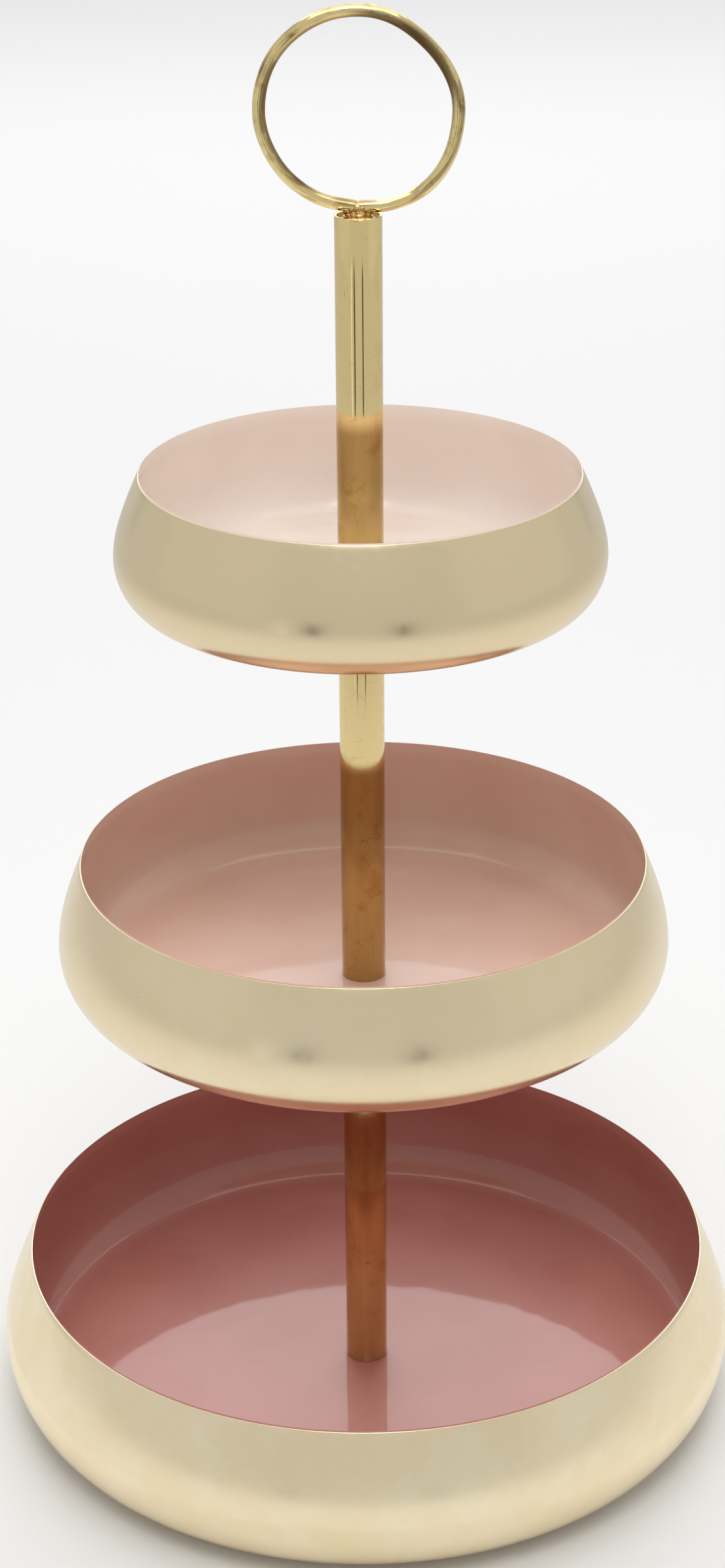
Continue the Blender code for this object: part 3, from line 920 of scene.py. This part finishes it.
# Where the hand-bent wire strays from a true ring: direction, how far inwards (outwards if it is
# below nought), over what length.
HAND_BENDS = [(46, 1.25 * MM, 24 * MM), (4, -0.25 * MM, 12 * MM), (-50, -2.5 * MM, 38 * MM),
              (207, 0.35 * MM, 15 * MM), (172, 0.6 * MM, 28 * MM), (128, 0.25 * MM, 16 * MM),
              (250, -0.4 * MM, 14 * MM)]


def nudge_ring(degrees, inwards, spread):
    """Pushes the wire in or out at one place, fading to nothing at spread from it."""
    across, up = math.cos(math.radians(degrees)), math.sin(math.radians(degrees))
    target = (ring_half_width * across, ring_centre + RING_HALF_HEIGHT * up)
    reach = 2 * math.pi * ring_half_width / RING_SIDES
    pick("verts", lambda vert: math.dist((vert.co.x, vert.co.z), target) < 0.6 * reach)
    bpy.ops.transform.translate(value=(-inwards * across, 0, -inwards * up),
                                use_proportional_edit=True, proportional_size=spread,
                                proportional_edit_falloff="SMOOTH")


def add_ring():
    start(bpy.ops.mesh.primitive_circle_add, vertices=RING_SIDES, radius=ring_half_width,
          rotation=(math.pi / 2, 0, 0), location=(0, 0, ring_centre))
    squeeze = RING_HALF_HEIGHT / ring_half_width
    bpy.ops.transform.resize(value=(1, 1, squeeze), center_override=(0, 0, ring_centre))
    for degrees, inwards, spread in HAND_BENDS:
        nudge_ring(degrees, inwards, spread)
    straight = ring_half_width * math.sin(bend_start)
    pick("verts", lambda vert: vert.co.z < ring_centre and abs(vert.co.x) < straight)
    bpy.ops.mesh.delete(type="VERT")
    half_gap = RING_CLEFT / 2 + WIRE_RADIUS * math.sin(RING_END_SLOPE)
    end_height = ring_centre - ring_depth + half_gap * math.tan(RING_END_SLOPE)
    for side in (-1, 1):
        pick("verts", lambda vert: len(vert.link_edges) == 1
             and vert.co.x * side > half_gap + TOUCH)
        shape = bmesh.from_edit_mesh(bpy.context.object.data)
        end = next(vert.co for vert in shape.verts if vert.select)
        move = (side * half_gap - end.x, 0, end_height - end.z)
        bpy.ops.mesh.extrude_region_move(TRANSFORM_OT_translate={"value": move})
    bpy.ops.object.mode_set(mode="OBJECT")
    bpy.ops.object.convert(target="CURVE")
    wire = bpy.context.object
    wire.data.bevel_depth = WIRE_RADIUS
    wire.data.bevel_resolution = WIRE_RESOLUTION
    wire.data.use_fill_caps = True
    bpy.ops.object.convert(target="MESH")
    bpy.ops.object.mode_set(mode="EDIT")
    bpy.ops.mesh.select_all(action="SELECT")
    bpy.ops.mesh.remove_doubles(threshold=TOUCH / 10)
    recalculate_normals()
    finish_piece("ring_handle", "upper_stem", wire_finish)


add_ring()

# %% [markdown]
# ## Braze and cap
#
# The ring's ends are brazed to a cap inside the tube's mouth. Molten braze pulls itself up the
# wires, leaves a little pool on the cap and, here, ran over the front of the tube's edge. Blobs
# are placed where it gathered and melted into one skin with a voxel remesh, which is what liquid
# metal does too.

# %% Model the braze and the cap
tube_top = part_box("upper_tube")[1].z
BRAZE_GRAIN = 0.16 * MM


def add_blob(place, size):
    """One flattened ball of braze: its middle and its half sizes along x, y and z."""
    bpy.ops.mesh.primitive_uv_sphere_add(segments=24, ring_count=16, radius=1, location=place)
    blob = bpy.context.object
    blob.scale = size
    return blob


def braze_blobs():
    """(middle, half sizes) of each gathering of braze, heights from the tube's end."""
    blobs = [((0, 0, -0.6), (5.6, 5.0, 1.2)), ((0, -0.3, 0.8), (3.4, 2.7, 2.2))]
    blobs.append(((0, -0.2, 3.1), (1.5, 1.9, 1.7)))
    blobs.append(((0.3, -5.4, -0.2), (4.8, 3.0, 0.6)))
    blobs.append(((0.2, -7.6, -0.25), (3.6, 1.15, 0.6)))
    blobs.append(((-0.2, -2.2, 2.3), (1.5, 1.0, 1.8)))
    for side in (-1, 1):
        blobs.append(((side * 2.6, 0, 1.2), (3.0, 1.9, 1.5)))
        blobs.append(((side * 1.7, -1.5, 2.2), (1.9, 1.0, 1.3)))
    blobs.append(((0.1, -1.9, 0.9), (1.1, 1.1, 1.9)))
    blobs.append(((-0.9, -1.9, 2.9), (1.1, 0.55, 0.9)))
    blobs.append(((0.9, -2.0, 1.3), (0.8, 0.6, 1.0)))
    return blobs


def add_braze():
    bpy.ops.object.select_all(action="DESELECT")
    made = []
    for middle, size in braze_blobs():
        place = [along * MM for along in middle]
        place[2] += tube_top
        made.append(add_blob(place, [half * MM for half in size]))
    for blob in made:
        blob.select_set(True)
    bpy.context.view_layer.objects.active = made[0]
    bpy.ops.object.join()
    bpy.ops.object.transform_apply(location=True, rotation=True, scale=True)
    apply_modifier("REMESH", mode="VOXEL", voxel_size=BRAZE_GRAIN)
    apply_modifier("SMOOTH", factor=0.6, iterations=6)
    finish_piece("handle_braze", "upper_stem", braze_finish, 80)


def add_cap():
    low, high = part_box("handle_cap")
    start(bpy.ops.mesh.primitive_cylinder_add, vertices=96, radius=high.x,
          depth=high.z - low.z, location=(0, 0, (high.z + low.z) / 2))
    pick("faces", lambda face: face.normal.z > 0.9)
    for share in (0.35, 0.3, 0.3, 0.3):
        bpy.ops.mesh.inset(thickness=share * 0.6 * high.x / 1.6)
    pick("verts", lambda vert: vert.co.z > high.z - TOUCH and vert.co.xy.length < 0.95 * high.x)
    bpy.ops.transform.vertex_random(offset=0.25 * MM, uniform=0.2, normal=0.9, seed=4)
    pick_sharp(50)
    bpy.ops.mesh.bevel(offset=0.25 * MM, segments=2, affect="EDGES")
    finish_piece("handle_cap", "upper_stem", solder_finish, 60)


add_braze()
add_cap()

# %% [markdown]
# ## Studs and the base screw
#
# The tubes are held together by threaded studs, which show when the stem is unscrewed. A thread
# is one tooth's outline carried round and up by its pitch on each turn, which is what the Screw
# modifier does. The ends are then cut off square with a bisecting plane, and the cut is filled.

# %% Model the threads
STUD_PITCH = 1.25 * MM
SCREW_PITCH = 1.0 * MM
THREAD_SIDES = 40
THREAD_DEPTH_SHARE = 0.6


def add_thread(radius, pitch, bottom, top):
    """A round threaded rod about the stem's axis, cut square at both ends."""
    depth = THREAD_DEPTH_SHARE * pitch
    crest, flank = pitch / 8, pitch * 3 / 8
    first = bottom - 2 * pitch
    start(bpy.ops.mesh.primitive_plane_add, size=1)
    bpy.ops.mesh.delete(type="ONLY_FACE")
    shape = bmesh.from_edit_mesh(bpy.context.object.data)
    bmesh.ops.delete(shape, geom=list(shape.verts), context="VERTS")
    outline = [(radius - depth, 0), (radius, flank), (radius, flank + crest),
               (radius - depth, 2 * flank + crest), (radius - depth, pitch)]
    corners = [shape.verts.new((across, 0, first + up)) for across, up in outline]
    for pair in zip(corners, corners[1:]):
        shape.edges.new(pair)
    bmesh.update_edit_mesh(bpy.context.object.data)
    turns = math.ceil((top - bottom) / pitch) + 3
    apply_modifier("SCREW", screw_offset=pitch, iterations=turns, steps=THREAD_SIDES,
                   render_steps=THREAD_SIDES, use_merge_vertices=True, merge_threshold=TOUCH / 10)
    bpy.ops.object.mode_set(mode="EDIT")
    for cut, side in ((bottom, -1), (top, 1)):
        bpy.ops.mesh.select_all(action="SELECT")
        bpy.ops.mesh.bisect(plane_co=(0, 0, cut), plane_no=(0, 0, side),
                            use_fill=True, clear_outer=True)
    bpy.ops.mesh.select_all(action="SELECT")
    bpy.ops.mesh.remove_doubles(threshold=TOUCH / 10)
    recalculate_normals()


def add_stud(node, body):
    low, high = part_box(node)
    add_thread(high.x, STUD_PITCH, low.z, high.z)
    finish_piece(node, body, steel_finish, 25)


add_stud("middle_stud", "middle_stem")
add_stud("upper_stud", "upper_stem")

# %% [markdown]
# ## Bushes in the tubes' ends
#
# Each tube is closed by a turned brass bush that is pressed into its end and tapped for a stud.
# A bush is a ring of edges extruded round its own outline: bore, chamfer, face, chamfer, and a
# shallow groove half way along the outside, which the tube's wall was rolled into.

# %% Model the bushes
BUSH_SIDES = 96
BUSH_EDGE = 0.3 * MM
GROOVE_DEPTH = 0.25 * MM
GROOVE_HALF = 0.6 * MM


def close_ring_outline():
    """Joins the last extruded ring of edges to the first one, which lies in the same place."""
    bpy.ops.mesh.select_all(action="SELECT")
    bpy.ops.mesh.remove_doubles(threshold=TOUCH / 10)
    recalculate_normals()


def add_bush(node, body):
    low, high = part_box(node)
    outside = high.x
    bore = min(turned_points(node))[0]
    middle = (low.z + high.z) / 2
    outline = [
        (bore, low.z + BUSH_EDGE), (bore + BUSH_EDGE, low.z), (outside - BUSH_EDGE, low.z),
        (outside, low.z + BUSH_EDGE), (outside, middle - GROOVE_HALF),
        (outside - GROOVE_DEPTH, middle - GROOVE_HALF / 2),
        (outside - GROOVE_DEPTH, middle + GROOVE_HALF / 2), (outside, middle + GROOVE_HALF),
        (outside, high.z - BUSH_EDGE), (outside - BUSH_EDGE, high.z),
        (bore + BUSH_EDGE, high.z), (bore, high.z - BUSH_EDGE), (bore, low.z + BUSH_EDGE),
    ]
    extrude_rings(outline, BUSH_SIDES)
    close_ring_outline()
    finish_piece(node, body, bush_finish, 30)


BUSH_BODIES = {"lower_tube_foot_insert": "base", "lower_tube_top_insert": "base",
               "middle_tube_foot_insert": "middle_stem", "middle_tube_top_insert": "middle_stem",
               "upper_tube_foot_insert": "upper_stem"}
for node, body in BUSH_BODIES.items():
    add_bush(node, body)

# %% [markdown]
# ## Screw, washer and feet
#
# A pan-head screw with a sawn slot comes up through a washer and the bottom bowl. Its head is a
# cylinder with a generous bevel, the slot is cut by taking a box away, and the thread is the same
# kind as the studs'. Four silicone pads, domed at the edge, are stuck under the bowl.

# %% Model the screw, the washer and the feet
SLOT_WIDTH = 1.4 * MM
SLOT_DEPTH = 0.9 * MM
HEAD_HEIGHT = 2.0 * MM
HEAD_ROUND = 0.9 * MM
WASHER_EDGE = 0.18 * MM
PAD_DOME = 1.1 * MM


def cylinder(radius, bottom, top, sides=96, across=(0, 0)):
    start(bpy.ops.mesh.primitive_cylinder_add, vertices=sides, radius=radius, depth=top - bottom,
          location=(*across, (top + bottom) / 2))
    return bpy.context.object


def add_screw():
    low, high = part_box("base_screw")
    head_top = low.z + HEAD_HEIGHT
    shank_radius = max(radius for radius, height in turned_points("base_screw")
                       if height > head_top + TOUCH)
    add_thread(shank_radius, SCREW_PITCH, head_top - TOUCH, high.z)
    bpy.ops.object.mode_set(mode="OBJECT")
    thread = bpy.context.object
    bpy.ops.object.select_all(action="DESELECT")
    bpy.ops.mesh.primitive_cube_add(size=1, location=(0, 0, low.z))
    slot = bpy.context.object
    slot.scale = (3 * high.x, SLOT_WIDTH, 2 * SLOT_DEPTH)
    head = cylinder(high.x, low.z, head_top)
    pick("edges", lambda edge: max(vert.co.z for vert in edge.verts) < low.z + TOUCH)
    bpy.ops.mesh.bevel(offset=HEAD_ROUND, segments=6, affect="EDGES")
    apply_modifier("BOOLEAN", operation="DIFFERENCE", object=slot)
    bpy.data.objects.remove(slot)
    bpy.ops.object.mode_set(mode="EDIT")
    pick_sharp(50)
    bpy.ops.mesh.bevel(offset=0.08 * MM, segments=2, affect="EDGES", clamp_overlap=True)
    bpy.ops.object.mode_set(mode="OBJECT")
    bpy.ops.object.select_all(action="DESELECT")
    thread.select_set(True)
    head.select_set(True)
    bpy.context.view_layer.objects.active = head
    bpy.ops.object.join()
    finish_piece("base_screw", "base", steel_finish, 30)


def add_washer():
    low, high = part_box("base_washer")
    bore = min(turned_points("base_washer"))[0]
    outline = [(bore, low.z), (high.x, low.z), (high.x, high.z), (bore, high.z), (bore, low.z)]
    extrude_rings(outline, BUSH_SIDES)
    close_ring_outline()
    pick_sharp(50)
    bpy.ops.mesh.bevel(offset=WASHER_EDGE, segments=3, affect="EDGES")
    finish_piece("base_washer", "base", steel_finish)


def add_pad(node):
    low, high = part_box(node)
    middle = (low + high) / 2
    cylinder((high.x - low.x) / 2, low.z, high.z, 64, middle.xy)
    pick("edges", lambda edge: max(vert.co.z for vert in edge.verts) < low.z + TOUCH)
    bpy.ops.mesh.bevel(offset=PAD_DOME, segments=6, affect="EDGES")
    pick_sharp(50)
    bpy.ops.mesh.bevel(offset=0.25 * MM, segments=2, affect="EDGES")
    finish_piece(node, "base", pad_finish, 40)


add_screw()
add_washer()
for number in range(1, 5):
    add_pad(f"base_pad_{number}")

# %% The sizes of the working model and of the finished stand
sizes = [[list(corner) for corner in box] for box in (working_box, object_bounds())]
print("finished stand, mm:", [round((high - low) / MM, 1) for low, high in zip(*sizes[1])])
